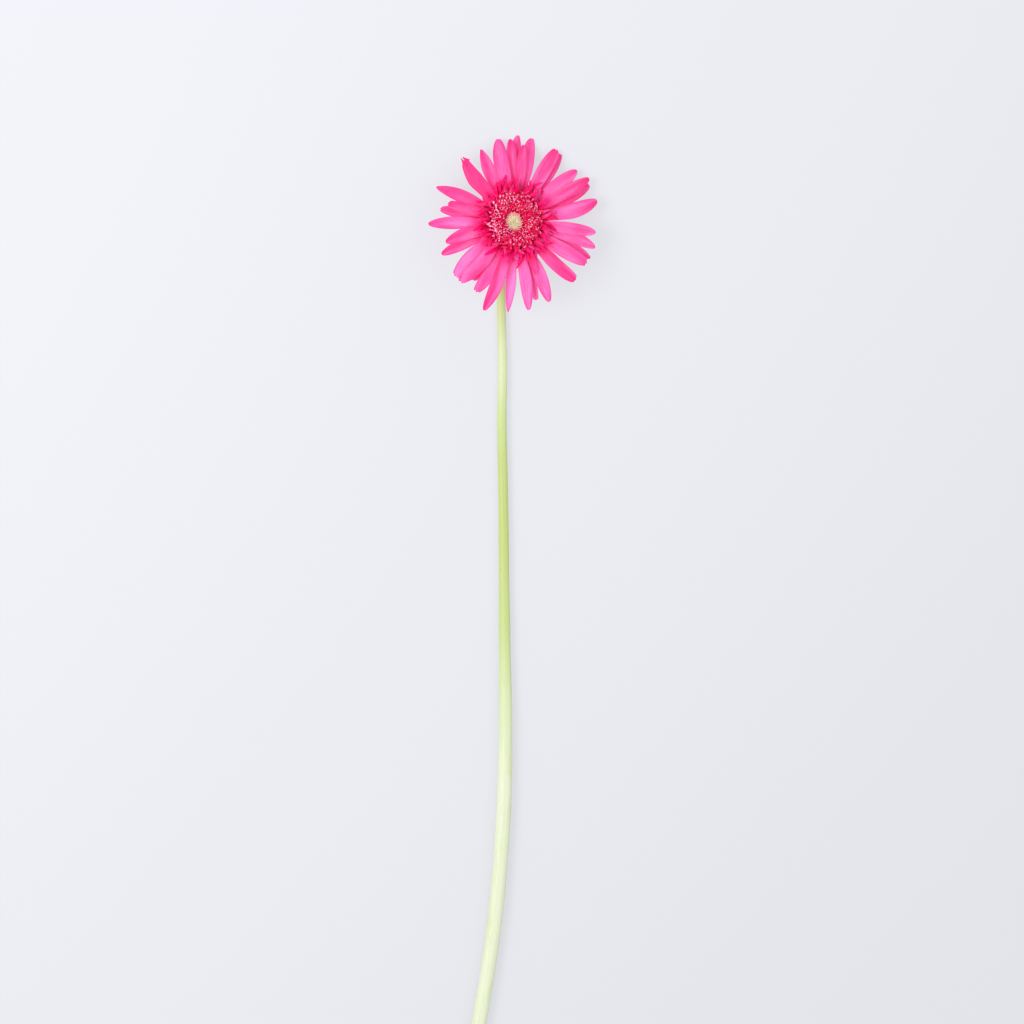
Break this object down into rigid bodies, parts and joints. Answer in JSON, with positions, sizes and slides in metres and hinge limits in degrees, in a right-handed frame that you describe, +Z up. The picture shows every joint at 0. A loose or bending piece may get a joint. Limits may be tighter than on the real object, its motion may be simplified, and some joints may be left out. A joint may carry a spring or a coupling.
{
  "type": "cut gerbera",
  "caption": "Cut gerbera flower on a long bare stem, lying on its back with its head facing up.",
  "frame": {"origin": "on the table under the middle of the lying flower's bounding box", "axes": "+Y along the stem from the cut end to the head, +Z up from the table, +X to the right seen from above with the head at the far end"},
  "size_m": [0.0806, 0.4944, 0.033],
  "materials": {
    "stem_green": "satin",
    "receptacle_green": "matte",
    "bract_green": "matte",
    "ray_pink": "satin",
    "collar_magenta": "satin",
    "disc_crimson": "satin",
    "bud_cream": "matte"
  },
  "bodies": {
    "root": {"stem": "stem_green", "receptacle": "receptacle_green", "inner_ray_collar": "collar_magenta", "disc_floret_ring": "disc_crimson", "disc_buds": "bud_cream", "bract_inner_01": "bract_green", "bract_inner_02": "bract_green", "bract_inner_03": "bract_green", "bract_inner_04": "bract_green", "bract_inner_05": "bract_green", "bract_inner_06": "bract_green", "bract_inner_07": "bract_green", "bract_inner_08": "bract_green", "bract_inner_09": "bract_green", "bract_inner_10": "bract_green", "bract_outer_01": "bract_green", "bract_outer_02": "bract_green", "bract_outer_03": "bract_green", "bract_outer_04": "bract_green", "bract_outer_05": "bract_green", "bract_outer_06": "bract_green", "bract_outer_07": "bract_green", "bract_outer_08": "bract_green", "bract_outer_09": "bract_green", "bract_outer_10": "bract_green", "ray_floret_01": "ray_pink", "ray_floret_02": "ray_pink", "ray_floret_03": "ray_pink", "ray_floret_04": "ray_pink", "ray_floret_05": "ray_pink", "ray_floret_06": "ray_pink", "ray_floret_07": "ray_pink", "ray_floret_08": "ray_pink", "ray_floret_09": "ray_pink", "ray_floret_10": "ray_pink", "ray_floret_11": "ray_pink", "ray_floret_12": "ray_pink", "ray_floret_13": "ray_pink", "ray_floret_14": "ray_pink", "ray_floret_15": "ray_pink", "ray_floret_16": "ray_pink", "ray_floret_17": "ray_pink", "ray_floret_18": "ray_pink", "ray_floret_19": "ray_pink", "ray_floret_20": "ray_pink", "ray_floret_21": "ray_pink", "ray_floret_22": "ray_pink", "ray_floret_23": "ray_pink", "ray_floret_24": "ray_pink", "ray_floret_25": "ray_pink", "ray_floret_26": "ray_pink", "ray_floret_27": "ray_pink", "ray_floret_28": "ray_pink", "ray_floret_29": "ray_pink", "ray_floret_30": "ray_pink", "ray_floret_31": "ray_pink", "ray_floret_32": "ray_pink", "ray_floret_33": "ray_pink"}
  },
  "joints": []
}
